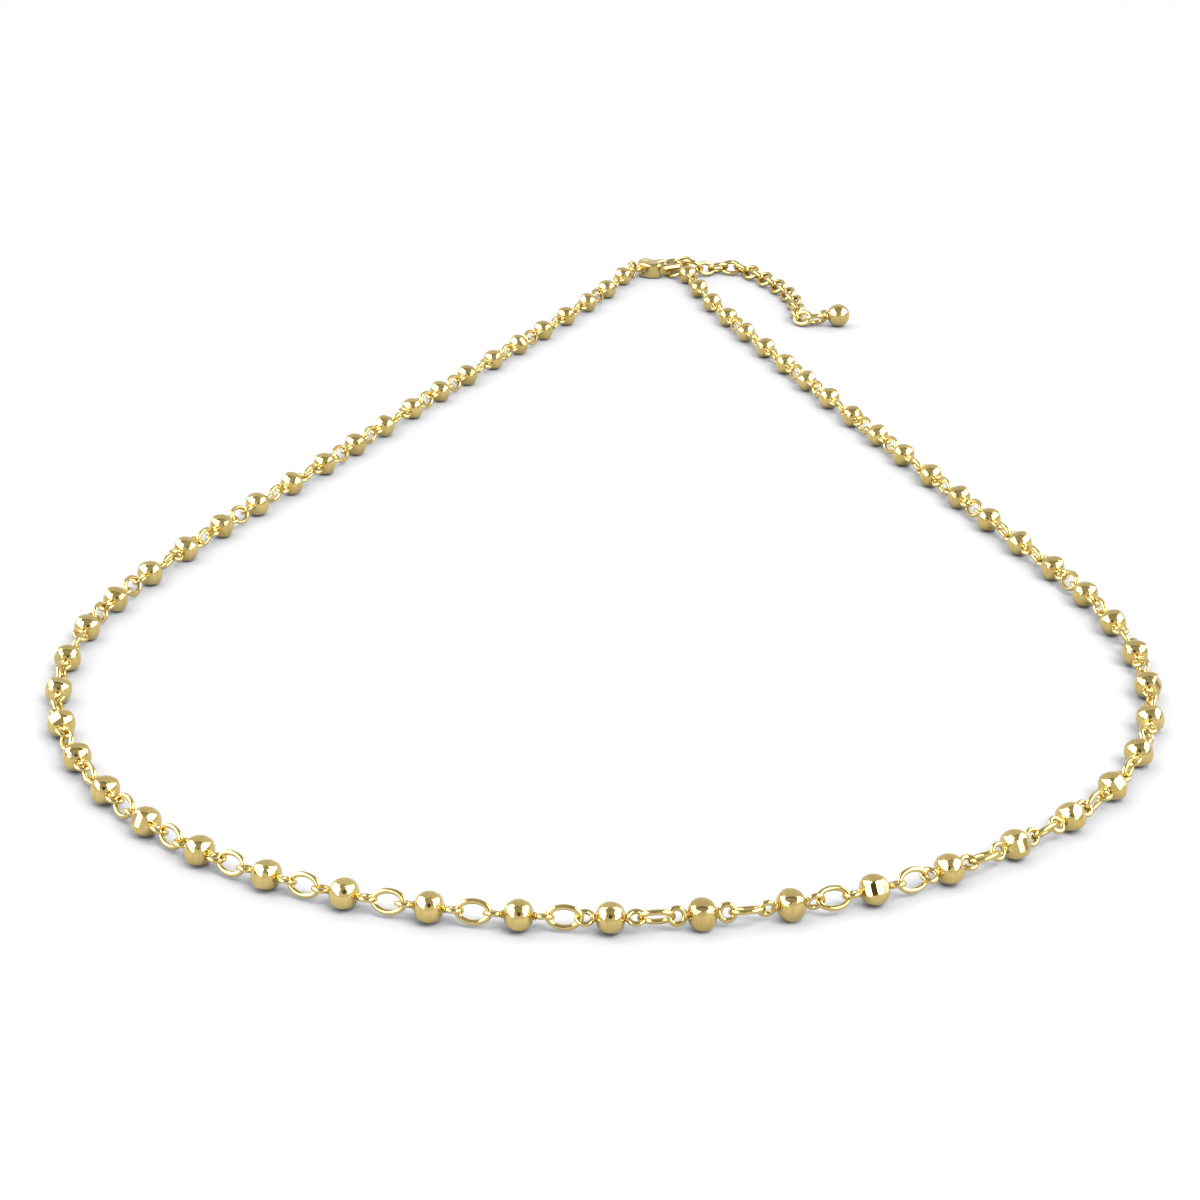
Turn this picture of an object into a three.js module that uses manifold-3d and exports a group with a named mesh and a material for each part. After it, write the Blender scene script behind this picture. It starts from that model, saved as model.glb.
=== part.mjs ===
// A beaded chain necklace with a lobster clasp and a short extender, laid down as a closed loop.
// Millimetres, +Z up. z = 0 is the surface that it lies on, the origin is on that surface under the
// middle of the loop, the clasp is at the +Y end and the middle of the front is at the -Y end.
// Each ball bead has a small eye at both ends, and an open oval link joins each eye to the next.

import * as THREE from 'three';
import { mergeVertices } from 'three/addons/utils/BufferGeometryUtils.js';
import Module from 'manifold-3d';

const wasm = await Module();
wasm.setup();

// ---- driving dimensions ----

const bead = { count: 62, diameter: 2.5, endFace: 1.32, endAt: 1.12, belt: 0.3 };
const eye = { outer: 1.6, wire: 0.36, band: 0.32, fromBead: 1.95, plateWidth: 1.1, root: 0.5 };
const link = { length: 2.97, width: 2.1, wire: 0.38 };
const roundSides = 10;
const wireSides = 5;
const holeSides = 8;
const firstRightBead = 29;
// How far the beads half way round have slid back, in the play of the links.
const slideBack = 0.7;

// The clasp's own frame starts at the middle of its tail eye and runs along +x to the hook's end.
const clasp = { length: 9.2, thickness: 2.2, heading: 25 };
const hook = { outer: 2.3, barWidth: 1.0, barThickness: 0.9, tipAngle: 94 };
const tailEye = { outer: 1.05, hole: 0.5, thickness: 0.7, height: 1.3 };
const lever = { pivotX: 2.0, pivotY: 0.85, eyeOuter: 0.7, eyeHole: 0.46, thickness: 0.7 };
const pin = { radius: 0.28, length: 1.8 };
const slot = { left: 1.0, bottom: -0.15, right: 4.6, top: 3.4, height: 1.3 };

const tailRing = { outer: 2.6, wire: 0.4, height: 1.3, heading: 55 };
const hookRing = { outer: 4.4, wire: 0.44, height: 1.3, heading: -65, lean: 57, pastBar: 0.1 };

const extender = { width: 2.2, sides: 8, steps: 10 };
const endBall = { diameter: 3.0, x: 31.7, y: 64.1 };

// The middle line of the chain, from the clasp's tail down the left side, round the front and up
// the right side. The clasp sets both of its ends.
const loopRoute = [
  { x: 1.0, y: 78.0 },
  { x: -4.8, y: 64.5 },
  { x: -13.5, y: 46.3 },
  { x: -22.7, y: 27.0 },
  { x: -31.2, y: 8.0 },
  { x: -40.4, y: -11.5 },
  { x: -47.8, y: -30.0 },
  { x: -50.0, y: -44.0 },
  { x: -48.0, y: -57.5 },
  { x: -42.0, y: -70.0 },
  { x: -32.5, y: -80.6 },
  { x: -20.5, y: -87.4 },
  { x: -6.5, y: -90.8 },
  { x: 7.5, y: -90.7 },
  { x: 21.0, y: -87.0 },
  { x: 33.5, y: -79.5 },
  { x: 43.0, y: -69.6 },
  { x: 48.6, y: -57.0 },
  { x: 50.0, y: -43.5 },
  { x: 48.0, y: -30.0 },
  { x: 43.6, y: -16.5 },
  { x: 39.0, y: -3.0 },
  { x: 34.4, y: 10.5 },
  { x: 27.8, y: 30.0 },
  { x: 21.3, y: 50.0 },
  { x: 15.4, y: 69.5 },
];

const extenderRoute = [
  { x: 14.4, y: 88.3 },
  { x: 17.2, y: 89.4 },
  { x: 20.2, y: 88.2 },
  { x: 23.2, y: 82.8 },
  { x: 25.6, y: 76.4 },
  { x: 26.6, y: 69.4 },
  { x: 26.2, y: 65.4 },
  { x: 27.6, y: 63.8 },
  { x: 29.95, y: 64.1 },
];

// How far an eye and the link after it are turned about the chain, in degrees from lying flat.
// Beads with no row of their own follow the rule in turnOf.
const turns = [
  { bead: 0, eye: 0, link: 80 },
  { bead: 24, eye: -15, link: 60 },
  { bead: 25, eye: -30, link: 72 },
  { bead: 26, eye: -10, link: 64 },
  { bead: 27, eye: -24, link: 70 },
  { bead: 28, eye: -18, link: 60 },
  { bead: 29, eye: -24, link: 66 },
  { bead: 30, eye: -28, link: 78 },
  { bead: 31, eye: 20, link: 124 },
  { bead: 32, eye: 66, link: 156 },
  { bead: 33, eye: 105, link: 40 },
  { bead: 34, eye: -24, link: 66 },
  { bead: 35, eye: 20, link: -24 },
  { bead: 36, eye: 66, link: 130 },
  { bead: 37, eye: 40, link: 100 },
  { bead: 61, eye: 55, link: 0 },
];
const eyeDrift = { swing: 35, step: 1.9 };

// ---- materials ----

const gold = new THREE.MeshStandardMaterial({ color: 0xd9b76a, roughness: 0.18, metalness: 1.0 });
const claspGold = new THREE.MeshStandardMaterial({ color: 0xd2ae62, roughness: 0.25, metalness: 1.0 });
const ringGold = new THREE.MeshStandardMaterial({ color: 0xd5b266, roughness: 0.22, metalness: 1.0 });

// ---- solids ----

const radians = THREE.MathUtils.degToRad;
const weld = 1e-5;
const flatWithin = 0.02;

function toSolid(geometry, matrix) {
  const closed = geometry.clone();
  if (matrix) closed.applyMatrix4(matrix);
  closed.deleteAttribute('normal');
  closed.deleteAttribute('uv');
  const merged = mergeVertices(closed, weld);
  const vertProperties = merged.attributes.position.array;
  const triVerts = merged.index.array;
  return new wasm.Manifold(new wasm.Mesh({ numProp: 3, vertProperties, triVerts }));
}

// One body from several that overlap, with the facets that a join splits made whole again.
function fuse(solids) {
  return wasm.Manifold.union(solids).asOriginal().simplify(flatWithin);
}

function toMesh(name, solid, material) {
  const { vertProperties, triVerts } = solid.getMesh();
  const geometry = new THREE.BufferGeometry();
  geometry.setAttribute('position', new THREE.BufferAttribute(new Float32Array(vertProperties), 3));
  geometry.setIndex(new THREE.BufferAttribute(new Uint32Array(triVerts), 1));
  geometry.computeVertexNormals();
  const mesh = new THREE.Mesh(geometry, material);
  mesh.name = name;
  return mesh;
}

function outlineOf(corners) {
  return new THREE.Shape(corners.map(([x, y]) => new THREE.Vector2(x, y)));
}

// A flat plate of the outline, with its middle plane at the height.
function plate(outline, depth, height = 0, curveSegments = 6) {
  const geometry = new THREE.ExtrudeGeometry(outline, { depth, bevelEnabled: false, curveSegments });
  return geometry.translate(0, 0, height - depth / 2);
}

// ---- the line that a chain follows ----

// A smooth open curve through the points, measured by distance from its start.
function routeThrough(points, height) {
  const places = points.map(({ x, y }) => new THREE.Vector3(x, y, height));
  const curve = new THREE.CatmullRomCurve3(places, false, 'catmullrom', 0.5);
  curve.arcLengthDivisions = 40 * (places.length - 1);
  return curve;
}

function along(curve, distance) {
  return curve.getPointAt(distance / curve.getLength());
}

// Puts a piece that runs along x between two points, turned about its own length.
function between(start, end, turn) {
  const x = end.clone().sub(start).normalize();
  const y = new THREE.Vector3(0, 0, 1).cross(x).normalize();
  const z = x.clone().cross(y);
  const middle = start.clone().add(end).multiplyScalar(0.5);
  const turned = new THREE.Matrix4().makeRotationX(radians(turn));
  return new THREE.Matrix4().makeBasis(x, y, z).setPosition(middle).multiply(turned);
}

function headingVector(degrees) {
  return new THREE.Vector3(Math.cos(radians(degrees)), Math.sin(radians(degrees)), 0);
}

function turnOf(index) {
  const row = turns.find((entry) => entry.bead === index);
  if (row) return row;
  const drift = eyeDrift.swing * Math.sin(eyeDrift.step * index);
  return { bead: index, eye: drift, link: drift + 90 };
}

// ---- chain pieces, each centred on the origin and running along x ----

// A ball bead: a faceted ball with a small flat face at each end of its bore.
function beadGeometry() {
  const { diameter, endFace, endAt, belt } = bead;
  const profile = [
    [0, -endAt],
    [endFace / 2, -endAt],
    [diameter / 2, -belt],
    [diameter / 2, belt],
    [endFace / 2, endAt],
    [0, endAt],
  ];
  const points = profile.map(([radius, x]) => new THREE.Vector2(radius, x));
  return new THREE.LatheGeometry(points, roundSides).rotateZ(-Math.PI / 2);
}

// An eye as a plain plate, from inside the bead to the eye's outer end.
function eyePlateGeometry() {
  const half = eye.plateWidth / 2;
  const reach = eye.fromBead + eye.outer / 2;
  return plate(outlineOf([[eye.root, -half], [reach, -half], [reach, half], [eye.root, half]]), eye.wire);
}

// An eye with its hole cut through, where a piece of another node passes through it.
function openEyeGeometry() {
  const half = eye.outer / 2;
  const reach = eye.fromBead + half;
  const rootHalf = eye.plateWidth / 2;
  const corners = [
    [eye.root, -rootHalf],
    [eye.fromBead - half / 2, -half],
    [reach, -half / 2],
    [reach, half / 2],
    [eye.fromBead - half / 2, half],
    [eye.root, rootHalf],
  ];
  const outline = outlineOf(corners);
  const opening = new THREE.Path();
  opening.absarc(eye.fromBead, 0, half - eye.band, 0, 2 * Math.PI, false);
  outline.holes.push(opening);
  return plate(outline, eye.wire, 0, holeSides);
}

function ringGeometry(outer, wire) {
  return new THREE.TorusGeometry((outer - wire) / 2, wire / 2, wireSides, roundSides);
}

// An oval link: a ring whose two halves are drawn apart.
function linkGeometry() {
  const geometry = ringGeometry(link.width, link.wire);
  const stretch = (link.length - link.width) / 2;
  const position = geometry.attributes.position;
  for (let i = 0; i < position.count; i += 1) {
    const x = position.getX(i);
    position.setX(i, x + Math.sign(x) * stretch);
  }
  return geometry;
}

// ---- where the clasp and its rings are ----

// A link's end rests against the inside of an eye, this far past the eye's middle.
const slackInEye = eye.outer / 2 - eye.wire - link.wire / 2;
const beadReach = eye.fromBead + slackInEye;
const chainHeight = bead.diameter / 2;

const tailRingReach = (tailRing.outer - tailRing.wire) / 2;
const tailEyePlace = new THREE.Vector3(4.86, 87.6, 0);
const tailRingPlace = tailEyePlace.clone().addScaledVector(headingVector(tailRing.heading), -tailRingReach);
const chainStart = tailRingPlace.clone().addScaledVector(headingVector(tailRing.heading), -tailRingReach);

const hookCentreX = clasp.length - tailEye.outer - hook.outer;
const hookBarRadius = hook.outer - hook.barWidth / 2;
const hookRingReach = (hookRing.outer - hookRing.wire) / 2;
const hookRingOut = headingVector(hookRing.heading);
const hookCentre = tailEyePlace.clone().addScaledVector(headingVector(clasp.heading), hookCentreX);
const hookRingPlace = hookCentre.clone().addScaledVector(hookRingOut, hookBarRadius + hookRing.pastBar);
const chainEnd = hookRingPlace.clone().addScaledVector(hookRingOut, hookRingReach);

// ---- the two halves of the beaded chain ----

const chainRoute = routeThrough([chainStart, ...loopRoute, chainEnd], chainHeight);
const pitch = (chainRoute.getLength() - 2 * eye.fromBead) / (bead.count - 1);

function beadDistance(index) {
  const slide = slideBack * Math.sin(Math.PI * index / (bead.count - 1));
  return eye.fromBead + index * pitch - slide;
}

function beadMatrix(index, turn) {
  const middle = beadDistance(index);
  const start = along(chainRoute, middle - eye.fromBead);
  const end = along(chainRoute, middle + eye.fromBead);
  return between(start, end, turn);
}

// The link between the halves sits in the middle of the next half's open eye, so that they don't touch.
function linkMatrix(index, turn) {
  const shift = index === firstRightBead - 1 ? slackInEye : 0;
  const start = beadDistance(index) + beadReach + shift;
  const end = beadDistance(index + 1) - beadReach + shift;
  return between(along(chainRoute, start), along(chainRoute, end), turn);
}

function chainHalf(name, firstBead, lastBead, openEyes) {
  const beadShape = beadGeometry();
  const eyePlate = eyePlateGeometry();
  const openEye = openEyeGeometry();
  const linkShape = linkGeometry();
  const backwards = new THREE.Matrix4().makeRotationZ(Math.PI);
  const solids = [];
  for (let index = firstBead; index <= lastBead; index += 1) {
    const turn = turnOf(index);
    const forward = beadMatrix(index, turn.eye);
    const back = forward.clone().multiply(backwards);
    solids.push(toSolid(beadShape, beadMatrix(index, 0)));
    const firstOpen = openEyes.some((entry) => entry.bead === index && entry.end === 'first');
    const lastOpen = openEyes.some((entry) => entry.bead === index && entry.end === 'last');
    solids.push(toSolid(firstOpen ? openEye : eyePlate, back));
    solids.push(toSolid(lastOpen ? openEye : eyePlate, forward));
    if (index < bead.count - 1) solids.push(toSolid(linkShape, linkMatrix(index, turn.link)));
  }
  return toMesh(name, fuse(solids), gold);
}

// ---- the clasp ----

// The bar that runs from the shoulder along the lower side and round the hook to its tip.
function hookOutline() {
  const { outer } = hook;
  const inner = outer - hook.barWidth;
  const tip = radians(hook.tipAngle);
  const outline = new THREE.Shape();
  outline.moveTo(1.6, -1.2);
  outline.quadraticCurveTo(2.2, -outer, 3.6, -outer);
  outline.lineTo(hookCentreX, -outer);
  outline.absarc(hookCentreX, 0, outer, -Math.PI / 2, tip, false);
  outline.absarc(hookCentreX, 0, inner, tip, -Math.PI / 2, true);
  outline.lineTo(3.4, -inner);
  outline.lineTo(2.6, -0.6);
  return outline;
}

// The thick shoulder that holds the lever between two cheeks.
function shoulderOutline() {
  const outline = new THREE.Shape();
  outline.moveTo(0.7, -0.7);
  outline.quadraticCurveTo(1.3, -1.9, 2.6, -2.2);
  outline.lineTo(3.3, -1.3);
  outline.lineTo(3.0, 0.2);
  outline.quadraticCurveTo(3.2, 1.7, 2.1, 1.85);
  outline.quadraticCurveTo(1.0, 1.7, 0.7, 0.7);
  return outline;
}

function circleOutline(radius) {
  const outline = new THREE.Shape();
  outline.absarc(0, 0, radius, 0, 2 * Math.PI, false);
  return outline;
}

function claspMatrix() {
  const turned = new THREE.Matrix4().makeRotationZ(radians(clasp.heading));
  return turned.setPosition(tailEyePlace);
}

function claspBody() {
  const middle = clasp.thickness / 2;
  const bar = toSolid(plate(hookOutline(), hook.barThickness, middle, 5));
  const shoulder = toSolid(plate(shoulderOutline(), clasp.thickness, middle, 2));
  const tail = toSolid(plate(circleOutline(tailEye.outer), tailEye.thickness, tailEye.height, roundSides));
  const tailHole = toSolid(plate(circleOutline(tailEye.hole), clasp.thickness, middle, holeSides));
  const { left, bottom, right, top } = slot;
  const slotOutline = outlineOf([[left, bottom], [right, bottom], [right, top], [left, top]]);
  const gap = toSolid(plate(slotOutline, slot.height, middle));
  const pinShape = plate(circleOutline(pin.radius), pin.length, middle, holeSides);
  const pivot = toSolid(pinShape.translate(lever.pivotX, lever.pivotY, 0));
  const body = fuse([shoulder.subtract(gap), bar, tail, pivot]).subtract(tailHole);
  return toMesh('clasp_body', body.transform(claspMatrix().elements), claspGold);
}

// The lever: an eye on the pin, an arm that closes the hook and a tab for the fingernail.
function leverOutline() {
  return outlineOf([
    [0.3, -0.55],
    [3.3, 0.55],
    [3.3, 1.3],
    [2.1, 1.35],
    [1.6, 2.2],
    [0.8, 2.3],
    [0.4, 0.6],
  ]);
}

function claspLever() {
  const middle = clasp.thickness / 2;
  const arm = toSolid(plate(leverOutline(), lever.thickness, middle));
  const knuckle = toSolid(plate(circleOutline(lever.eyeOuter), lever.thickness, middle, holeSides));
  const hole = toSolid(plate(circleOutline(lever.eyeHole), clasp.thickness, middle, holeSides));
  const place = new THREE.Matrix4().makeTranslation(lever.pivotX, lever.pivotY, 0);
  const body = fuse([arm, knuckle]).subtract(hole).transform(place.elements);
  return toMesh('clasp_lever', body.transform(claspMatrix().elements), claspGold);
}

// ---- the rings at the clasp ----

function tailRingMesh() {
  const upright = new THREE.Matrix4().makeRotationX(Math.PI / 2);
  const matrix = new THREE.Matrix4().makeRotationZ(radians(tailRing.heading)).multiply(upright);
  matrix.setPosition(tailRingPlace.x, tailRingPlace.y, tailRing.height);
  return toMesh('tail_ring', toSolid(ringGeometry(tailRing.outer, tailRing.wire), matrix), ringGold);
}

function hookRingMesh() {
  const leaning = new THREE.Matrix4().makeRotationX(radians(90 - hookRing.lean));
  const matrix = new THREE.Matrix4().makeRotationZ(radians(hookRing.heading)).multiply(leaning);
  matrix.setPosition(hookRingPlace.x, hookRingPlace.y, hookRing.height);
  return toMesh('hook_ring', toSolid(ringGeometry(hookRing.outer, hookRing.wire), matrix), ringGold);
}

// ---- the extender ----

function extenderMesh() {
  const radius = extender.width / 2;
  const corners = [];
  for (let i = 0; i < extender.sides; i += 1) {
    const angle = radians((i + 0.5) * 360 / extender.sides);
    corners.push([radius * Math.cos(angle), radius * Math.sin(angle)]);
  }
  const extrudePath = routeThrough(extenderRoute, radius);
  const geometry = new THREE.ExtrudeGeometry(outlineOf(corners), { steps: extender.steps, extrudePath });
  return toMesh('extender_chain', toSolid(geometry), gold);
}

function endBallMesh() {
  const radius = endBall.diameter / 2;
  const geometry = new THREE.SphereGeometry(radius, roundSides, 5).rotateX(Math.PI / 2);
  return toMesh('extender_ball', toSolid(geometry.translate(endBall.x, endBall.y, radius)), gold);
}

// ---- the necklace ----

const necklace = new THREE.Group();
necklace.add(
  chainHalf('chain_left', 0, firstRightBead - 1, [{ bead: 0, end: 'first' }]),
  chainHalf('chain_right', firstRightBead, bead.count - 1, [
    { bead: firstRightBead, end: 'first' },
    { bead: bead.count - 1, end: 'last' },
  ]),
  claspBody(),
  claspLever(),
  tailRingMesh(),
  hookRingMesh(),
  extenderMesh(),
  endBallMesh(),
);

export default necklace;
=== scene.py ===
import math

import bmesh
import bpy
from mathutils import Matrix, Vector


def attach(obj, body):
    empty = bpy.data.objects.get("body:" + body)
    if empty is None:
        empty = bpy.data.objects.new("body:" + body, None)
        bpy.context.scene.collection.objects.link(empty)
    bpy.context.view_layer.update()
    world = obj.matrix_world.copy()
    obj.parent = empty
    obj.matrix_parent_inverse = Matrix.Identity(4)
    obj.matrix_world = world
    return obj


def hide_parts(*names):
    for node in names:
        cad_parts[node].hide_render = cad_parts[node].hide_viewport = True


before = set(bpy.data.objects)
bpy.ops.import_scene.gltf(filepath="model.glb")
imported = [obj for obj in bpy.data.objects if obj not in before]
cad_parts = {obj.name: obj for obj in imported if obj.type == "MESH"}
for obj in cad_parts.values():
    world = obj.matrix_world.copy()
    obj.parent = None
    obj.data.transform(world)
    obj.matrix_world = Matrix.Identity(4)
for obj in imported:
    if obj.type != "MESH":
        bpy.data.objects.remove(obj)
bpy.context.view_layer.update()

mm = 0.001
UP = Vector((0, 0, 1))

# ---- driving dimensions, as in the CAD model, with slightly thicker wires ----

BEAD_COUNT = 62
FIRST_RIGHT_BEAD = 29
CHAIN_HEIGHT = 1.25 * mm
EYE_OUTER = 1.66 * mm
EYE_WIRE = 0.44 * mm
EYE_SLACK = 0.25 * mm
EYE_FROM_BEAD = 1.95 * mm
LINK_LENGTH = 2.97 * mm
LINK_WIDTH = 2.1 * mm
LINK_WIRE = 0.46 * mm
LINK_CUT = 0.06 * mm
SLIDE_BACK = 0.7 * mm

CLASP_HEADING = math.radians(25)
CLASP_MIDDLE = 1.1 * mm
TAIL_EYE = Vector((4.86, 87.6, 1.3)) * mm
HOOK_CENTRE = 5.85 * mm
HOOK_RADIUS = 1.8 * mm
SHOULDER_THICKNESS = 2.16 * mm
LEVER_PIVOT = Vector((2.0, 0.85, 0)) * mm
LEVER_THICKNESS = 1.0 * mm
PIN_RADIUS = 0.34 * mm
LEVER_HOLE = 0.38 * mm

TAIL_RING = {"radius": 1.1 * mm, "wire": 0.4 * mm, "height": 1.3 * mm, "heading": math.radians(55)}
HOOK_RING = {"radius": 1.98 * mm, "wire": 0.44 * mm, "height": 1.3 * mm, "heading": math.radians(-65)}
HOOK_RING_LEAN = math.radians(57)
HOOK_RING_PAST_BAR = 0.1 * mm

EXTENDER_LINK = {"width": 2.4 * mm, "wire": 0.6 * mm, "height": 1.0 * mm, "pitch": 2.0 * mm, "turn": 45}
EXTENDER_START = math.radians(60)
END_BALL_RADIUS = 1.5 * mm
END_BALL_PLACE = Vector((31.7, 64.1, 1.5)) * mm
END_BALL_EYE = {"radius": 0.52 * mm, "from_ball": 0.4 * mm, "turn": math.radians(70)}

# The middle line of the chain, in millimetres. The clasp's rings set its first and last points.
LOOP_ROUTE = [
    (1.0, 78.0), (-4.8, 64.5), (-13.5, 46.3), (-22.7, 27.0), (-31.2, 8.0), (-40.4, -11.5), (-47.8, -30.0),
    (-50.0, -44.0), (-48.0, -57.5), (-42.0, -70.0), (-32.5, -80.6), (-20.5, -87.4), (-6.5, -90.8),
    (7.5, -90.7), (21.0, -87.0), (33.5, -79.5), (43.0, -69.6), (48.6, -57.0), (50.0, -43.5),
    (48.0, -30.0), (43.6, -16.5), (39.0, -3.0), (34.4, 10.5), (27.8, 30.0), (21.3, 50.0), (15.4, 69.5),
]
EXTENDER_ROUTE = [
    (14.4, 88.3), (17.2, 89.4), (20.2, 88.2), (23.2, 82.8), (25.6, 76.4), (26.6, 69.4), (26.2, 65.4),
    (27.6, 63.8), (29.6, 64.1),
]

# Bead: how far its eyes, and the link after it, are turned about the chain, in degrees from flat.
# The others swing by up to EYE_DRIFT, with the link at right angles to the eyes.
TURNS = {
    0: (0, 80), 24: (-15, 60), 25: (-30, 72), 26: (-10, 64), 27: (-24, 70), 28: (-18, 60),
    29: (-24, 66), 30: (-28, 78), 31: (20, 124), 32: (66, 156), 33: (105, 40), 34: (-24, 66),
    35: (20, -24), 36: (66, 130), 37: (40, 100), 61: (55, 0),
}
EYE_DRIFT = 35
DRIFT_STEP = 1.9

# A bead is a ball with four moon-cut faces, which are parts of a larger ball and meet each other
# round the chain. Each way of cutting has its depth and its faces' radius, as shares of the ball's.
BALL_RADIUS = 1.34 * mm
BEAD_LENGTH = 0.88
BALL_SIDES = 56
CAP_ROWS = 6
FACE_ROWS = 14
BORE_MOUTH = math.asin(0.3)
BEAD_CREASE = 8.5
ROUND_CUT = (0.065, 1.2)
WIDE_CUT = (0.1, 1.35)
# Bead: the side that its first face is on, in degrees about the chain from level, and the way that
# it is cut. The others follow the rule in cut_of: a lying bead rests near the middle of a face.
CUTS = {
    24: (168, WIDE_CUT), 25: (160, ROUND_CUT), 26: (165, ROUND_CUT), 27: (163, WIDE_CUT),
    28: (166, ROUND_CUT), 29: (165, ROUND_CUT), 30: (162, ROUND_CUT), 31: (160, ROUND_CUT),
    32: (184, WIDE_CUT), 33: (187, WIDE_CUT), 34: (165, ROUND_CUT), 35: (163, ROUND_CUT),
    36: (158, ROUND_CUT), 37: (150, WIDE_CUT), 38: (164, WIDE_CUT), 39: (158, ROUND_CUT),
}
CUT_SIDE = 172
CUT_SWING = 14
CUT_STEP = 2.3

# Bead: the side of its row of narrow flats, and how far the middle one leans along the chain.
FLAT_ROWS = {
    5: (40, 0), 10: (130, 0), 20: (150, 10), 22: (120, 10), 25: (152, 20), 34: (147, -26), 36: (156, -20),
    38: (140, -10), 41: (150, -20), 45: (165, -10), 52: (140, 0),
}
FLAT_SPREAD = (-44, -22, 0, 22, 44)
FLAT_DEPTH = 0.13

# The mesh attribute that carries each point's place in its own bead.
PLACE_IN_BEAD = "place_in_bead"


# ---- the line that a chain follows ----

class Route:
    """A smooth curve through points, measured by distance from its start."""

    STEPS = 40

    def __init__(self, points):
        self.points = [2 * points[0] - points[1], *points, 2 * points[-1] - points[-2]]
        self.spans = len(points) - 1
        self.distances = [0.0]
        before = self.at(0)
        for step in range(1, self.spans * self.STEPS + 1):
            here = self.at(step / self.STEPS)
            self.distances.append(self.distances[-1] + (here - before).length)
            before = here
        self.length = self.distances[-1]

    def at(self, t):
        span = min(int(t), self.spans - 1)
        a, b, c, d = self.points[span:span + 4]
        u = t - span
        start, end = (c - a) / 2, (d - b) / 2
        square, cube = (3 * (c - b) - 2 * start - end), (2 * (b - c) + start + end)
        return b + start * u + square * u ** 2 + cube * u ** 3

    def place(self, distance):
        low, high = 0, len(self.distances) - 1
        while high - low > 1:
            middle = (low + high) // 2
            if self.distances[middle] <= distance:
                low = middle
            else:
                high = middle
        share = (distance - self.distances[low]) / (self.distances[high] - self.distances[low])
        return self.at((low + share) / self.STEPS)


def shares(start, end, steps):
    """Even steps from one number to another, with both."""
    return [start + (end - start) * i / steps for i in range(steps + 1)]


def level_points(places, height):
    return [Vector((x * mm, y * mm, height)) for x, y in places]


def between(start, end, turn):
    """The place of a piece that runs along x from start to end, turned about its own length."""
    x = (end - start).normalized()
    y = UP.cross(x).normalized()
    z = x.cross(y)
    axes = Matrix((x, y, z)).transposed().to_4x4()
    return Matrix.Translation((start + end) / 2) @ axes @ Matrix.Rotation(math.radians(turn), 4, "X")


def heading_vector(angle):
    return Vector((math.cos(angle), math.sin(angle), 0))


# ---- mesh pieces, each closed, in its own frame ----

def add_rings(mesh, rings, closed):
    """Skins rings of points into a closed surface. An open run of rings is capped at both ends."""
    rows = [[mesh.verts.new(point) for point in ring] for ring in rings]
    sides = len(rows[0])
    pairs = list(zip(rows, rows[1:]))
    if closed:
        pairs.append((rows[-1], rows[0]))
    for row, after in pairs:
        for i in range(sides):
            j = (i + 1) % sides
            mesh.faces.new((row[i], row[j], after[j], after[i]))
    if not closed:
        mesh.faces.new(reversed(rows[0]))
        mesh.faces.new(rows[-1])


def add_wire(mesh, path, radius, sides=12, closed=False, flatten=1.0):
    """Wire along a path in the xy plane. radius and flatten are one number, or one for each point."""
    count = len(path)
    rings = []
    for i, point in enumerate(path):
        before = path[(i - 1) % count] if closed or i > 0 else path[0]
        after = path[(i + 1) % count] if closed or i < count - 1 else path[-1]
        out = (after - before).normalized().cross(UP)
        size = radius if isinstance(radius, float) else radius[i]
        rise = size * (flatten if isinstance(flatten, float) else flatten[i])
        ring = []
        for side in range(sides):
            angle = 2 * math.pi * side / sides
            ring.append(point + size * math.cos(angle) * out + rise * math.sin(angle) * UP)
        rings.append(ring)
    add_rings(mesh, rings, closed)


def oval(half_length, half_width, start, end, steps):
    """Points of an oval in the xy plane, from one angle to another."""
    angles = shares(start, end, steps)
    return [Vector((half_length * math.cos(a), half_width * math.sin(a), 0)) for a in angles]


def closed_oval(half_length, half_width, steps):
    return oval(half_length, half_width, 0, 2 * math.pi, steps)[:-1]


def cut_oval(half_length, half_width, at, steps=40):
    """An oval with a fine cut through it at one angle, as an open jump ring has."""
    half_gap = LINK_CUT / 2 / half_width
    return oval(half_length, half_width, at + half_gap, at + 2 * math.pi - half_gap, steps)


def add_lathe(mesh, profile, sides):
    """Turns a profile of (x, radius) points about the x axis. The first and last are on the axis."""
    first = mesh.verts.new((profile[0][0], 0, 0))
    last = mesh.verts.new((profile[-1][0], 0, 0))
    rows = []
    for x, radius in profile[1:-1]:
        row = []
        for side in range(sides):
            angle = 2 * math.pi * side / sides
            row.append(mesh.verts.new((x, radius * math.cos(angle), radius * math.sin(angle))))
        rows.append(row)
    for i in range(sides):
        j = (i + 1) % sides
        mesh.faces.new((first, rows[0][j], rows[0][i]))
        mesh.faces.new((last, rows[-1][i], rows[-1][j]))
        for row, after in zip(rows, rows[1:]):
            mesh.faces.new((row[i], row[j], after[j], after[i]))


def ball_profile(radius, steps):
    """Half of a ball with a small dished bore at each end."""
    bore, bottom = 0.22 * radius, 0.8 * radius
    profile = [(-bottom, 0), (-bottom, bore)]
    for angle in shares(BORE_MOUTH, math.pi - BORE_MOUTH, steps):
        profile.append((-radius * math.cos(angle), radius * math.sin(angle)))
    return [*profile, (bottom, bore), (bottom, 0)]


def cut_flat(mesh, normal, distance):
    """Cuts a flat across a solid, at a distance from its middle."""
    every = [*mesh.verts, *mesh.edges, *mesh.faces]
    bmesh.ops.bisect_plane(mesh, geom=every, plane_co=normal * distance, plane_no=normal, clear_outer=True)
    edges = [edge for edge in mesh.edges if edge.is_boundary]
    bmesh.ops.holes_fill(mesh, edges=edges)


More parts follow.
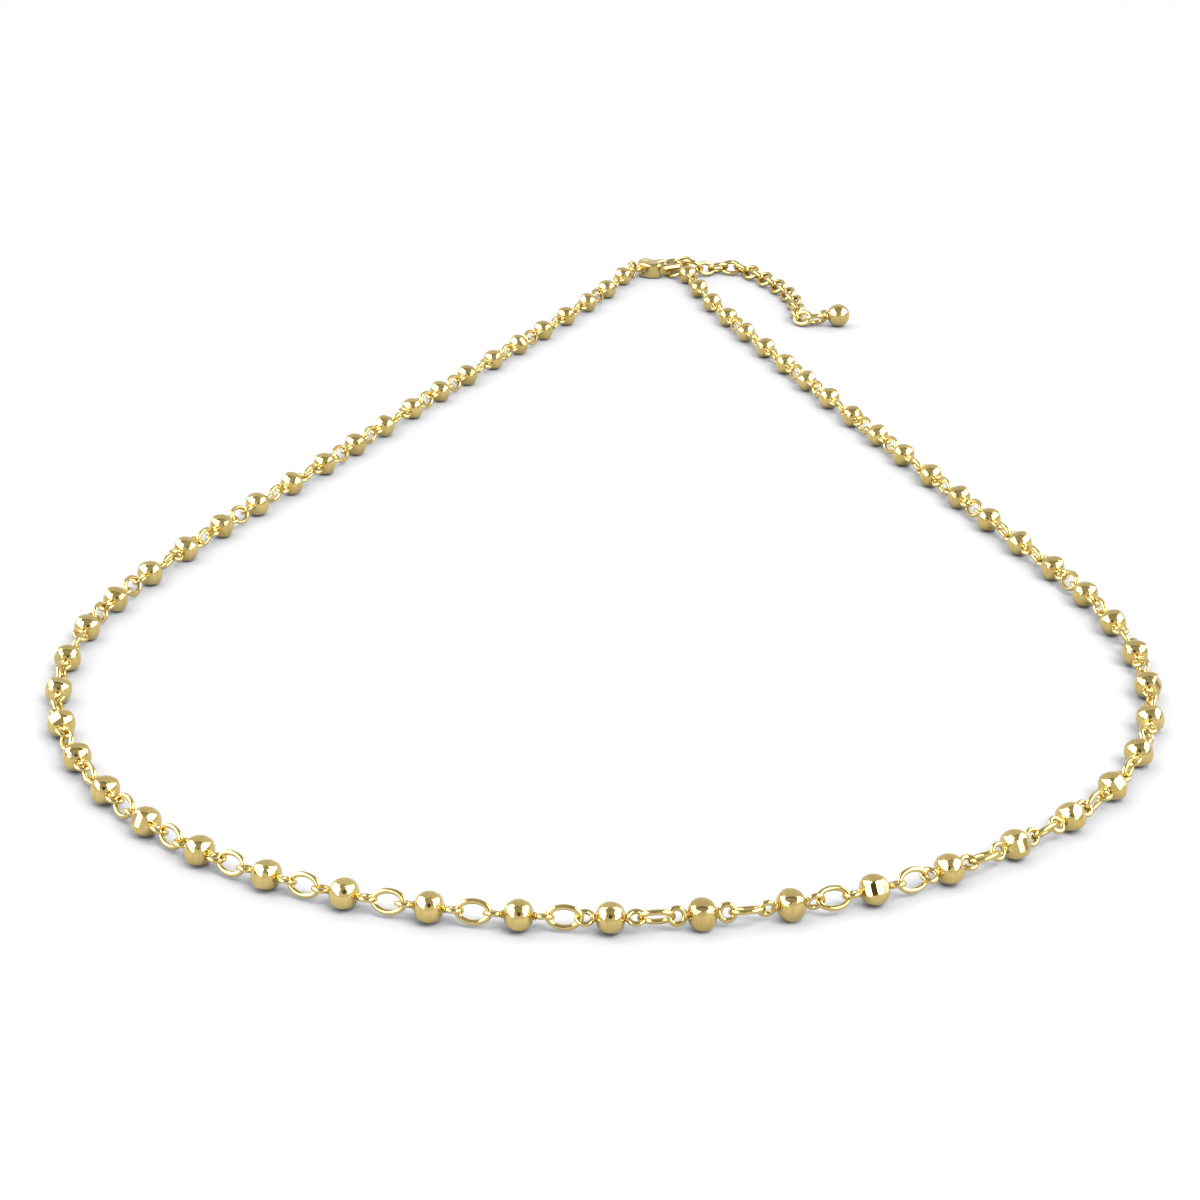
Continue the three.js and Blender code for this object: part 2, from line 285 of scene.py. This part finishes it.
def cut_of(index):
    """The side of a bead's first face, and the way that its faces are cut."""
    side = CUT_SIDE + CUT_SWING * math.sin(CUT_STEP * index)
    return CUTS.get(index, (side, ROUND_CUT if index % 3 else WIDE_CUT))


def moon_cut_ball(side, depth, face_radius):
    """A ball with four curved faces round the x axis. Its mesh lines follow the edges of the faces."""
    offset = face_radius - (1 - depth)
    edge = (face_radius ** 2 - offset ** 2 - 1) / (2 * offset)
    columns = []
    for column in range(BALL_SIDES):
        turn = 2 * math.pi * column / BALL_SIDES
        across = (turn + math.pi / 4) % (math.pi / 2) - math.pi / 4
        rim = math.asin(min(1, edge / math.cos(across)))
        polar = shares(BORE_MOUTH, rim, CAP_ROWS)[:-1] + shares(rim, math.pi - rim, FACE_ROWS)
        polar += shares(math.pi - rim, math.pi - BORE_MOUTH, CAP_ROWS)[1:]
        points = []
        for angle in polar:
            toward = math.sin(angle) * math.cos(across)
            reach = -offset * toward + math.sqrt((offset * toward) ** 2 + face_radius ** 2 - offset ** 2)
            size = BALL_RADIUS * min(1, reach)
            out = size * math.sin(angle)
            x = -BEAD_LENGTH * size * math.cos(angle)
            points.append((x, out * math.cos(side + turn), out * math.sin(side + turn)))
        columns.append(points)
    mesh = bmesh.new()
    add_rings(mesh, list(zip(*columns)), closed=False)
    return mesh


def bead_mesh(index):
    """One bead, whose points keep their places in the bead for the grooves and painted reflection streaks
    of its material.
    """
    side, cut = cut_of(index)
    mesh = moon_cut_ball(math.radians(side), *cut)
    if index in FLAT_ROWS:
        around, lean = (math.radians(angle) for angle in FLAT_ROWS[index])
        for spread in FLAT_SPREAD:
            along = lean + math.radians(spread)
            out = math.cos(along)
            normal = Vector((math.sin(along), out * math.cos(around), out * math.sin(around)))
            cut_flat(mesh, normal, BALL_RADIUS * (1 - FLAT_DEPTH))
    place_in_bead = mesh.verts.layers.float_vector.new(PLACE_IN_BEAD)
    for vert in mesh.verts:
        vert[place_in_bead] = vert.co
    return mesh


# The collar between a bead and its eye: distance from the middle of the bead, and radius.
COLLAR = [(0.85, 0.3), (1.14, 0.3), (1.21, 0.33), (1.27, 0.34), (1.33, 0.32), (1.38, 0.25), (1.4, 0.16)]


def eye_mesh():
    """A round wire eye on a collared neck, along x from the middle of the bead."""
    mesh = bmesh.new()
    ring = (EYE_OUTER - EYE_WIRE) / 2
    add_wire(mesh, closed_oval(ring, ring, steps=28), EYE_WIRE / 2, closed=True)
    mesh.transform(Matrix.Translation((EYE_FROM_BEAD, 0, 0)))
    neck = bmesh.new()
    profile = [(x * mm, radius * mm) for x, radius in COLLAR]
    add_lathe(neck, [(profile[0][0], 0), *profile, (profile[-1][0], 0)], sides=16)
    add_to(mesh, neck, Matrix.Identity(4))
    return mesh


def link_mesh():
    """An oval link, with its cut at the end nearer to the chain's start."""
    mesh = bmesh.new()
    half_length, half_width = (LINK_LENGTH - LINK_WIRE) / 2, (LINK_WIDTH - LINK_WIRE) / 2
    add_wire(mesh, cut_oval(half_length, half_width, math.pi), LINK_WIRE / 2)
    return mesh


def add_to(target, source, matrix):
    """Adds a copy of one mesh to another, at a place, and frees the first."""
    holder = bpy.data.meshes.new("holder")
    source.transform(matrix)
    source.to_mesh(holder)
    target.from_mesh(holder)
    bpy.data.meshes.remove(holder)
    source.free()


def new_piece(name, mesh, material, body, node, crease=50):
    """Makes a scene object that rides on a CAD body and stands for a CAD node."""
    bmesh.ops.recalc_face_normals(mesh, faces=mesh.faces)
    data = bpy.data.meshes.new(name)
    mesh.to_mesh(data)
    mesh.free()
    data.shade_smooth()
    data.set_sharp_from_angle(angle=math.radians(crease))
    data.materials.append(material)
    piece = bpy.data.objects.new(name, data)
    bpy.context.scene.collection.objects.link(piece)
    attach(piece, body)
    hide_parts(node)


# ---- materials ----

def new_node(tree, kind, **values):
    node = tree.nodes.new(kind)
    for key, value in values.items():
        if key in node.inputs:
            node.inputs[key].default_value = value
        else:
            setattr(node, key, value)
    return node


def add_grooves_and_painted_streaks(tree, drift, tone, bump):
    """Fine lines round each bead: grooves in its bump, and the same lines painted into its tone as streaks
    of reflection.
    """
    place = new_node(tree, "ShaderNodeAttribute", attribute_name=PLACE_IN_BEAD)
    stretch = new_node(tree, "ShaderNodeMapping", Scale=(1, 0.14, 0.14))
    marks = new_node(tree, "ShaderNodeTexNoise", Scale=4200.0, Detail=2.0, Roughness=0.5)
    # The lines also shift the base tone: painted streaks of reflection, beside the real grooves in the
    # bump.
    shift = new_node(tree, "ShaderNodeMath", operation="SUBTRACT")
    shift.inputs[1].default_value = 0.5
    tone_with_painted_streaks = new_node(tree, "ShaderNodeMath", operation="ADD")
    grooves = new_node(tree, "ShaderNodeBump", Strength=0.8, Distance=0.00002)
    link = tree.links.new
    link(place.outputs["Vector"], stretch.inputs["Vector"])
    link(stretch.outputs["Vector"], marks.inputs["Vector"])
    link(marks.outputs["Fac"], shift.inputs[0])
    link(shift.outputs["Value"], tone_with_painted_streaks.inputs[0])
    link(drift.outputs["Fac"], tone_with_painted_streaks.inputs[1])
    link(tone_with_painted_streaks.outputs["Value"], tone.inputs["Fac"])
    link(marks.outputs["Fac"], grooves.inputs["Height"])
    link(grooves.outputs["Normal"], bump.inputs["Normal"])


def gold_material(name, light, deep, roughness, grain, grooves_and_painted_streaks=False):
    """Polished plating: the tone drifts slowly, the polish has fine scratches and faint dullness. Beads
    can also get grooves with painted reflection streaks in the tone.
    """
    material = bpy.data.materials.new(name)
    material.use_nodes = True
    tree = material.node_tree
    shader = tree.nodes["Principled BSDF"]
    shader.inputs["Metallic"].default_value = 1.0
    place = new_node(tree, "ShaderNodeTexCoord")
    drift = new_node(tree, "ShaderNodeTexNoise", Scale=260.0, Detail=3.0, Roughness=0.5)
    tone = new_node(tree, "ShaderNodeValToRGB")
    tone.color_ramp.elements[0].position = 0.35
    tone.color_ramp.elements[0].color = (*deep, 1)
    tone.color_ramp.elements[1].position = 0.65
    tone.color_ramp.elements[1].color = (*light, 1)
    smears = new_node(tree, "ShaderNodeTexNoise", Scale=900.0, Detail=4.0, Roughness=0.6)
    dullness = new_node(tree, "ShaderNodeMapRange")
    dullness.inputs["From Min"].default_value = 0.3
    dullness.inputs["From Max"].default_value = 0.75
    dullness.inputs["To Min"].default_value = roughness * 0.6
    dullness.inputs["To Max"].default_value = roughness * 1.5
    scratches = new_node(tree, "ShaderNodeTexNoise", Scale=5200.0, Detail=3.0, Roughness=0.65)
    bump = new_node(tree, "ShaderNodeBump", Strength=grain, Distance=0.00001)
    link = tree.links.new
    for texture in (drift, smears, scratches):
        link(place.outputs["Object"], texture.inputs["Vector"])
    link(drift.outputs["Fac"], tone.inputs["Fac"])
    link(tone.outputs["Color"], shader.inputs["Base Color"])
    link(smears.outputs["Fac"], dullness.inputs["Value"])
    link(dullness.outputs["Result"], shader.inputs["Roughness"])
    link(scratches.outputs["Fac"], bump.inputs["Height"])
    link(bump.outputs["Normal"], shader.inputs["Normal"])
    # Grooves in the bump, and painted reflection streaks in the base tone.
    if grooves_and_painted_streaks:
        add_grooves_and_painted_streaks(tree, drift, tone, bump)
    return material


def floor_material():
    """White paper, with a trace of tooth."""
    material = bpy.data.materials.new("white_floor")
    material.use_nodes = True
    tree = material.node_tree
    shader = tree.nodes["Principled BSDF"]
    shader.inputs["Base Color"].default_value = (0.8, 0.8, 0.8, 1)
    shader.inputs["Roughness"].default_value = 0.9
    shader.inputs["Specular IOR Level"].default_value = 0.1
    place = new_node(tree, "ShaderNodeTexCoord")
    tooth = new_node(tree, "ShaderNodeTexNoise", Scale=900.0, Detail=2.0)
    bump = new_node(tree, "ShaderNodeBump", Strength=0.1, Distance=0.00002)
    tree.links.new(place.outputs["Object"], tooth.inputs["Vector"])
    tree.links.new(tooth.outputs["Fac"], bump.inputs["Height"])
    tree.links.new(bump.outputs["Normal"], shader.inputs["Normal"])
    return material


def shade_material():
    """Dull black, a little uneven."""
    material = bpy.data.materials.new("camera_black")
    material.use_nodes = True
    tree = material.node_tree
    shader = tree.nodes["Principled BSDF"]
    shader.inputs["Roughness"].default_value = 0.8
    place = new_node(tree, "ShaderNodeTexCoord")
    mottle = new_node(tree, "ShaderNodeTexNoise", Scale=60.0, Detail=3.0)
    tone = new_node(tree, "ShaderNodeValToRGB")
    tone.color_ramp.elements[0].color = (0.03, 0.03, 0.03, 1)
    tone.color_ramp.elements[1].color = (0.09, 0.09, 0.09, 1)
    tree.links.new(place.outputs["Object"], mottle.inputs["Vector"])
    tree.links.new(mottle.outputs["Fac"], tone.inputs["Fac"])
    tree.links.new(tone.outputs["Color"], shader.inputs["Base Color"])
    return material


# Each gold: its light and its deep tone, its roughness and the strength of its scratches.
# The beads' gold carries painted reflection streaks in its tone as well as grooves.
bead_gold = gold_material(
    "bead_gold", (0.625, 0.48, 0.187), (0.52, 0.39, 0.14), 0.08, 0.12, grooves_and_painted_streaks=True)
gold = gold_material("gold", (0.61, 0.47, 0.18), (0.55, 0.42, 0.15), 0.08, 0.12)
clasp_gold = gold_material("clasp_gold", (0.62, 0.48, 0.2), (0.55, 0.42, 0.16), 0.15, 0.25)
ring_gold = gold_material("ring_gold", (0.62, 0.485, 0.19), (0.55, 0.42, 0.15), 0.11, 0.2)


# ---- camera, floor and lights ----

CAMERA_PLACE = (-0.00023, -0.2516, 0.09746)
CAMERA_TILT = math.radians(66.452)
CAMERA_LENS = 73.37
SHADE_RADIUS = 0.045
SHADE_BEHIND = 0.01
SHADE_SIDES = 24
FLOOR_REACH = 3.0

# The brightness of the light tent's roof, by degrees up from the front horizon and over to the back.
TENT = ((0, 0.95), (26, 0.95), (30, 0.5), (98, 0.5), (101, 0.14), (104, 0.14), (108, 0.85), (180, 0.95))

# Soft panels: name, place, target, width, height, radiance.
WALLS = [
    ("left_wall", (-0.5, -0.2, 0.43), (0, -0.2, 0.43), 1.1, 0.66, 6.0),
    ("right_wall", (0.5, -0.2, 0.45), (0, -0.2, 0.45), 1.0, 0.66, 6.0),
]
FLOOR_LIGHTS = [
    ("overhead_key", (0.35, -0.42, 0.71), (0, 0, 0), 0.6, 0.6, 4.7),
    ("side_fill", (-0.5, 0.0, 0.8), (0, 0, 0), 0.9, 0.9, 1.05),
    ("back_fill", (-0.06, 0.56, 0.36), (-0.06, 0.56, 0), 1.1, 0.3, 0.7),
]


def make_camera():
    """Looks level along +Y and down at the loop, from in front of it."""
    camera = bpy.data.cameras.new("camera")
    camera.lens = CAMERA_LENS
    camera.sensor_width = 36
    holder = bpy.data.objects.new("camera", camera)
    holder.location = CAMERA_PLACE
    holder.rotation_euler = (CAMERA_TILT, 0, 0)
    camera.clip_start = 0.01
    bpy.context.scene.collection.objects.link(holder)
    bpy.context.scene.camera = holder


def stage_sheet(name, corners, material):
    """A flat sheet of the studio, which isn't part of the necklace."""
    mesh = bmesh.new()
    mesh.faces.new([mesh.verts.new(corner) for corner in corners])
    data = bpy.data.meshes.new(name)
    mesh.to_mesh(data)
    mesh.free()
    data.materials.append(material)
    sheet = bpy.data.objects.new(name, data)
    bpy.context.scene.collection.objects.link(sheet)
    return sheet


def make_floor():
    square = [(x * FLOOR_REACH, y * FLOOR_REACH, 0) for x, y in ((-1, -1), (1, -1), (1, 1), (-1, 1))]
    stage_sheet("floor", square, floor_material())


def make_camera_shade():
    """The dark front of the camera, as the beads reflect it. It is just behind the camera."""
    circle = closed_oval(SHADE_RADIUS, SHADE_RADIUS, SHADE_SIDES)
    turned = Matrix.Rotation(CAMERA_TILT, 4, "X")
    place = Vector(CAMERA_PLACE) + turned @ Vector((0, 0, SHADE_BEHIND))
    shade = stage_sheet("camera_shade", [place + turned @ point for point in circle], shade_material())
    shade.visible_camera = False
    shade.visible_diffuse = False
    shade.visible_shadow = False


def make_panel(name, place, target, width, height, radiance, reflected):
    """A soft panel at a place, facing a target. Reflections alone see it, or else the floor alone does."""
    light = bpy.data.lights.new(name, "AREA")
    light.shape = "RECTANGLE"
    light.size = width
    light.size_y = height
    light.energy = radiance * math.pi * width * height
    holder = bpy.data.objects.new(name, light)
    holder.location = place
    holder.rotation_euler = (Vector(place) - Vector(target)).to_track_quat("Z", "Y").to_euler()
    holder.visible_glossy = reflected
    holder.visible_diffuse = not reflected
    bpy.context.scene.collection.objects.link(holder)


def make_tent():
    """A light tent, from a bright low front over a dim roof to pale walls behind, with a dark seam."""
    world = bpy.data.worlds.new("tent")
    world.use_nodes = True
    tree = world.node_tree
    background = tree.nodes["Background"]
    place = new_node(tree, "ShaderNodeTexCoord")
    split = new_node(tree, "ShaderNodeSeparateXYZ")
    forward = new_node(tree, "ShaderNodeMath", operation="MULTIPLY")
    forward.inputs[1].default_value = -1
    over = new_node(tree, "ShaderNodeMath", operation="ARCTAN2")
    degrees = new_node(tree, "ShaderNodeMapRange")
    degrees.inputs["From Max"].default_value = math.pi
    walls = new_node(tree, "ShaderNodeValToRGB")
    ramp = walls.color_ramp
    while len(ramp.elements) < len(TENT):
        ramp.elements.new(0.5)
    for element, (angle, shade) in zip(ramp.elements, TENT):
        element.position = angle / 180
        element.color = (shade, shade, shade, 1)
    tree.links.new(place.outputs["Generated"], split.inputs["Vector"])
    tree.links.new(split.outputs["Y"], forward.inputs[0])
    tree.links.new(split.outputs["Z"], over.inputs[0])
    tree.links.new(forward.outputs["Value"], over.inputs[1])
    tree.links.new(over.outputs["Value"], degrees.inputs["Value"])
    tree.links.new(degrees.outputs["Result"], walls.inputs["Fac"])
    tree.links.new(walls.outputs["Color"], background.inputs["Color"])
    bpy.context.scene.world = world


def make_lights():
    make_tent()
    for name, place, target, width, height, radiance in WALLS:
        make_panel(name, place, target, width, height, radiance, reflected=True)
    for name, place, target, width, height, radiance in FLOOR_LIGHTS:
        make_panel(name, place, target, width, height, radiance, reflected=False)
    bpy.context.scene.cycles.caustics_reflective = False
    bpy.context.scene.view_settings.view_transform = "Standard"


make_camera()
make_floor()
make_camera_shade()
make_lights()


# ---- places of the clasp and its rings ----

def clasp_matrix():
    return Matrix.Translation((TAIL_EYE.x, TAIL_EYE.y, 0)) @ Matrix.Rotation(CLASP_HEADING, 4, "Z")


tail_ring_place = TAIL_EYE - heading_vector(TAIL_RING["heading"]) * TAIL_RING["radius"]
chain_start = tail_ring_place - heading_vector(TAIL_RING["heading"]) * TAIL_RING["radius"]
hook_middle = TAIL_EYE + heading_vector(CLASP_HEADING) * HOOK_CENTRE
hook_ring_out = heading_vector(HOOK_RING["heading"])
hook_ring_place = hook_middle + hook_ring_out * (HOOK_RADIUS + HOOK_RING_PAST_BAR)
chain_end = hook_ring_place + hook_ring_out * HOOK_RING["radius"]


def ring_matrix(ring, place, lean):
    """A ring whose plane holds its heading, leaned over from upright about that heading."""
    heading = Matrix.Rotation(ring["heading"], 4, "Z")
    return Matrix.Translation(place) @ heading @ Matrix.Rotation(math.pi / 2 - lean, 4, "X")


def ring_mesh(ring, cut_at):
    mesh = bmesh.new()
    circle = cut_oval(ring["radius"], ring["radius"], cut_at, steps=56)
    add_wire(mesh, circle, ring["wire"] / 2, sides=16)
    return mesh


# ---- the beaded chain ----

def flat_end(point):
    return (point.x / mm, point.y / mm)


loop_places = [flat_end(chain_start), *LOOP_ROUTE, flat_end(chain_end)]
loop = Route(level_points(loop_places, CHAIN_HEIGHT))
pitch = (loop.length - 2 * EYE_FROM_BEAD) / (BEAD_COUNT - 1)


def turns_of(index):
    """How far a bead's eyes, and the link after it, are turned about the chain."""
    drift = EYE_DRIFT * math.sin(DRIFT_STEP * index)
    return TURNS.get(index, (drift, drift + 90))


def bead_distance(index):
    """How far along the chain a bead is. Those near the front lie back a little from even spacing."""
    slide = SLIDE_BACK * math.sin(math.pi * index / (BEAD_COUNT - 1))
    return EYE_FROM_BEAD + index * pitch - slide


def bead_matrix(index, turn):
    middle = bead_distance(index)
    start = loop.place(middle - EYE_FROM_BEAD)
    end = loop.place(middle + EYE_FROM_BEAD)
    return between(start, end, turn)


def link_matrix(index, turn):
    """The place of the link after a bead. The one that joins the two halves hangs a little further on."""
    reach = EYE_FROM_BEAD + EYE_SLACK
    shift = EYE_SLACK if index == FIRST_RIGHT_BEAD - 1 else 0
    start = bead_distance(index) + reach + shift
    end = bead_distance(index + 1) - reach + shift
    return between(loop.place(start), loop.place(end), turn)


def make_chain_half(side, first, last, node):
    beads, eyes, links = bmesh.new(), bmesh.new(), bmesh.new()
    backwards = Matrix.Rotation(math.pi, 4, "Z")
    for index in range(first, last + 1):
        eye_turn, link_turn = turns_of(index)
        add_to(beads, bead_mesh(index), bead_matrix(index, 0))
        forward = bead_matrix(index, eye_turn)
        add_to(eyes, eye_mesh(), forward)
        add_to(eyes, eye_mesh(), forward @ backwards)
        if index < BEAD_COUNT - 1:
            add_to(links, link_mesh(), link_matrix(index, link_turn))
    new_piece("beads_" + side, beads, bead_gold, "necklace", node, BEAD_CREASE)
    new_piece("eyes_" + side, eyes, gold, "necklace", node)
    new_piece("links_" + side, links, gold, "necklace", node)


make_chain_half("left", 0, FIRST_RIGHT_BEAD - 1, "chain_left")
make_chain_half("right", FIRST_RIGHT_BEAD, BEAD_COUNT - 1, "chain_right")


# ---- the clasp ----

# Outlines in millimetres: the shoulder and the lever's slot from the tail eye, the lever from its pivot.
SHOULDER = [(0.62, 0.0), (0.8, -0.85), (1.5, -1.75), (2.6, -2.2), (3.3, -1.75), (3.35, -0.9), (3.05, 0.3),
            (2.95, 1.25), (2.1, 1.86), (1.15, 1.45), (0.75, 0.75)]
LEVER_ARM = [(-0.62, 0.1), (-0.2, -0.62), (0.7, -0.35), (2.0, 0.25), (3.25, 0.62), (3.42, 1.0),
             (3.2, 1.3), (2.4, 1.3), (1.95, 1.6), (1.6, 2.2), (1.1, 2.36), (0.75, 2.1), (0.55, 1.4),
             (0.1, 0.75), (-0.45, 0.6)]
LEVER_SLOT = [(1.0, -0.2), (4.6, -0.2), (4.6, 3.4), (1.0, 3.4)]
SLOT_THICKNESS = 1.1 * mm
SHOULDER_EDGE = 0.42 * mm
SLOT_EDGE = 0.02 * mm
LEVER_EDGE = 0.3 * mm
PIN_BOTTOM = 0.3 * mm
PIN_HEAD = 0.06 * mm
CLASP_CREASE = 32

# The hook's bar from the shoulder to the bend, in millimetres from the tail eye, then its half width, its
# thickness as a share of its width, how much that swells towards the shoulder and over how many points
# of its path, and how it narrows from a share of its length on, down to a round tip.
HOOK_START = [(1.9, -0.7), (2.4, -1.3), (3.1, -1.66), (4.0, -1.8), (5.0, -1.8)]
HOOK_BAR = {"radius": 0.54 * mm, "thickness": 0.92, "swell": 0.75, "swell_points": 11,
            "taper": 0.22, "taper_from": 0.45, "tip_points": 5, "tip_blunt": 0.25}
TAIL_EYE_RING = {"radius": 0.77 * mm, "wire": 0.28 * mm, "rise": 1.2}


def arc(centre, radius, start, end, steps):
    """Points of an arc in the xy plane, with its angles in degrees."""
    angles = [math.radians(angle) for angle in shares(start, end, steps)]
    return [centre + radius * Vector((math.cos(a), math.sin(a), 0)) for a in angles]


def hook_path():
    """Along the lower side of the clasp and round the hook to its tip."""
    centre = Vector((HOOK_CENTRE, 0, 0))
    start = [Vector((x, y, 0)) * mm for x, y in HOOK_START]
    return start + arc(centre, HOOK_RADIUS, -90, 97, 27)


def bar_radii(count):
    """The bar's half width at each point: a slow taper and then a round tip."""
    tip = HOOK_BAR["tip_points"]
    radii = []
    for i in range(count):
        taper = HOOK_BAR["taper"] * max(0, i / count - HOOK_BAR["taper_from"])
        radius = HOOK_BAR["radius"] * (1 - taper)
        left = count - 1 - i
        if left < tip:
            radius *= math.sqrt(1 - ((tip - left) / (tip + HOOK_BAR["tip_blunt"])) ** 2)
        radii.append(radius)
    return radii


def rounded_plate(outline, thickness, round_edge, segments=4):
    """A plate with rounded rims at the clasp's middle height, from an outline in millimetres."""
    mesh = bmesh.new()
    height = CLASP_MIDDLE - thickness / 2
    bottom = mesh.faces.new([mesh.verts.new((x * mm, y * mm, height)) for x, y in outline])
    moved = bmesh.ops.extrude_face_region(mesh, geom=[bottom])
    top = [vert for vert in moved["geom"] if isinstance(vert, bmesh.types.BMVert)]
    bmesh.ops.translate(mesh, vec=(0, 0, thickness), verts=top)
    bmesh.ops.recalc_face_normals(mesh, faces=mesh.faces)
    rims = [edge for edge in mesh.edges if abs(edge.verts[0].co.z - edge.verts[1].co.z) < 1e-7]
    bmesh.ops.bevel(mesh, geom=rims, offset=round_edge, segments=segments, profile=0.5, affect="EDGES")
    return mesh


def smooth_outline(points, steps=5):
    """A smooth closed curve through points, as a list of points."""
    count = len(points)
    curve = []
    for i in range(count):
        a, b, c, d = (Vector(points[(i + k) % count]) for k in (-1, 0, 1, 2))
        for step in range(steps):
            u = step / steps
            start, end = (c - a) / 2, (d - b) / 2
            curve.append(b + start * u + (3 * (c - b) - 2 * start - end) * u ** 2
                         + (2 * (b - c) + start + end) * u ** 3)
    return [(point.x, point.y) for point in curve]


def cylinder(centre, radius, low, high, sides=24):
    """An upright cylinder, from one height to another."""
    mesh = bmesh.new()
    circle = [centre + point for point in closed_oval(radius, radius, sides)]
    rings = [[point + UP * height for point in circle] for height in (low, high)]
    add_rings(mesh, rings, closed=False)
    return mesh


def apply_cut(target, cutter):
    """Cuts one mesh out of another with Blender's boolean and returns the result."""
    objects = []
    for name, mesh in (("target", target), ("cutter", cutter)):
        bmesh.ops.recalc_face_normals(mesh, faces=mesh.faces)
        data = bpy.data.meshes.new(name)
        mesh.to_mesh(data)
        mesh.free()
        holder = bpy.data.objects.new(name, data)
        bpy.context.scene.collection.objects.link(holder)
        objects.append(holder)
    modifier = objects[0].modifiers.new("cut", "BOOLEAN")
    modifier.object = objects[1]
    modifier.solver = "EXACT"
    shown = objects[0].evaluated_get(bpy.context.evaluated_depsgraph_get())
    result = bmesh.new()
    result.from_mesh(shown.data)
    for holder in objects:
        data = holder.data
        bpy.data.objects.remove(holder)
        bpy.data.meshes.remove(data)
    return result


def hook_bar_mesh():
    path = hook_path()
    swell = [max(0.0, 1 - i / HOOK_BAR["swell_points"]) for i in range(len(path))]
    thick = [HOOK_BAR["thickness"] + HOOK_BAR["swell"] * share for share in swell]
    bar = bmesh.new()
    add_wire(bar, path, bar_radii(len(path)), sides=18, flatten=thick)
    return bar


def tail_eye_mesh():
    ring, wire = TAIL_EYE_RING["radius"], TAIL_EYE_RING["wire"]
    tail = bmesh.new()
    circle = closed_oval(ring, ring, steps=40)
    add_wire(tail, circle, wire, sides=14, closed=True, flatten=TAIL_EYE_RING["rise"])
    return tail


def make_clasp():
    """The cast body: a slotted shoulder, the hook's bar, the tail eye and the lever's pin."""
    shoulder = rounded_plate(smooth_outline(SHOULDER), SHOULDER_THICKNESS, SHOULDER_EDGE, segments=5)
    slot = rounded_plate(LEVER_SLOT, SLOT_THICKNESS, SLOT_EDGE, segments=1)
    body = apply_cut(shoulder, slot)
    add_to(body, hook_bar_mesh(), Matrix.Translation((0, 0, CLASP_MIDDLE)))
    add_to(body, tail_eye_mesh(), Matrix.Translation((0, 0, TAIL_EYE.z)))
    pin = cylinder(LEVER_PIVOT, PIN_RADIUS, PIN_BOTTOM, 2 * CLASP_MIDDLE + PIN_HEAD)
    add_to(body, pin, Matrix.Identity(4))
    body.transform(clasp_matrix())
    new_piece("clasp_cast_body", body, clasp_gold, "necklace", "clasp_body", CLASP_CREASE)


def make_lever():
    blank = rounded_plate(smooth_outline(LEVER_ARM, steps=4), LEVER_THICKNESS, LEVER_EDGE)
    hole = cylinder(Vector((0, 0, 0)), LEVER_HOLE, 0, 2 * CLASP_MIDDLE)
    arm = apply_cut(blank, hole)
    arm.transform(clasp_matrix() @ Matrix.Translation(LEVER_PIVOT))
    new_piece("clasp_cast_lever", arm, clasp_gold, "lever", "clasp_lever", CLASP_CREASE)


def make_rings():
    tail = ring_mesh(TAIL_RING, math.radians(120))
    tail.transform(ring_matrix(TAIL_RING, tail_ring_place, 0))
    new_piece("tail_jump_ring", tail, ring_gold, "necklace", "tail_ring")
    hook = ring_mesh(HOOK_RING, math.radians(200))
    hook.transform(ring_matrix(HOOK_RING, hook_ring_place, HOOK_RING_LEAN))
    new_piece("hook_jump_ring", hook, ring_gold, "necklace", "hook_ring")


make_clasp()
make_lever()
make_rings()


# ---- the extender ----

def extender_joints():
    """Where one link of the extender hangs in the next, from the hook ring to the ball's eye."""
    matrix = ring_matrix(HOOK_RING, hook_ring_place, HOOK_RING_LEAN)
    inside = HOOK_RING["radius"] - HOOK_RING["wire"] / 2 - EXTENDER_LINK["wire"] / 2
    first = matrix @ (heading_vector(EXTENDER_START) * inside)
    line = Route([first, *level_points(EXTENDER_ROUTE, EXTENDER_LINK["height"])])
    count = round(line.length / EXTENDER_LINK["pitch"])
    return [line.place(line.length * i / count) for i in range(count + 1)]


def make_extender():
    mesh = bmesh.new()
    joints = extender_joints()
    wire = EXTENDER_LINK["wire"]
    half_width = (EXTENDER_LINK["width"] - wire) / 2
    for i, (start, end) in enumerate(zip(joints, joints[1:])):
        half_length = (end - start).length / 2 + wire / 2
        link = bmesh.new()
        add_wire(link, cut_oval(half_length, half_width, math.pi / 2), wire / 2)
        turn = EXTENDER_LINK["turn"] * (1 if i % 2 else -1)
        add_to(mesh, link, between(start, end, turn))
    new_piece("extender_links", mesh, gold, "necklace", "extender_chain")


def make_end_ball():
    mesh = bmesh.new()
    add_lathe(mesh, ball_profile(END_BALL_RADIUS, steps=36), sides=BALL_SIDES)
    eye = bmesh.new()
    ring = END_BALL_EYE["radius"]
    add_wire(eye, closed_oval(ring, ring, steps=28), EYE_WIRE / 2, closed=True)
    turned = Matrix.Rotation(END_BALL_EYE["turn"], 4, "X")
    beside = Matrix.Translation((-END_BALL_RADIUS - END_BALL_EYE["from_ball"], 0, 0))
    add_to(mesh, eye, beside @ turned)
    mesh.transform(Matrix.Translation(END_BALL_PLACE))
    new_piece("extender_end_ball", mesh, gold, "necklace", "extender_ball")


make_extender()
make_end_ball()
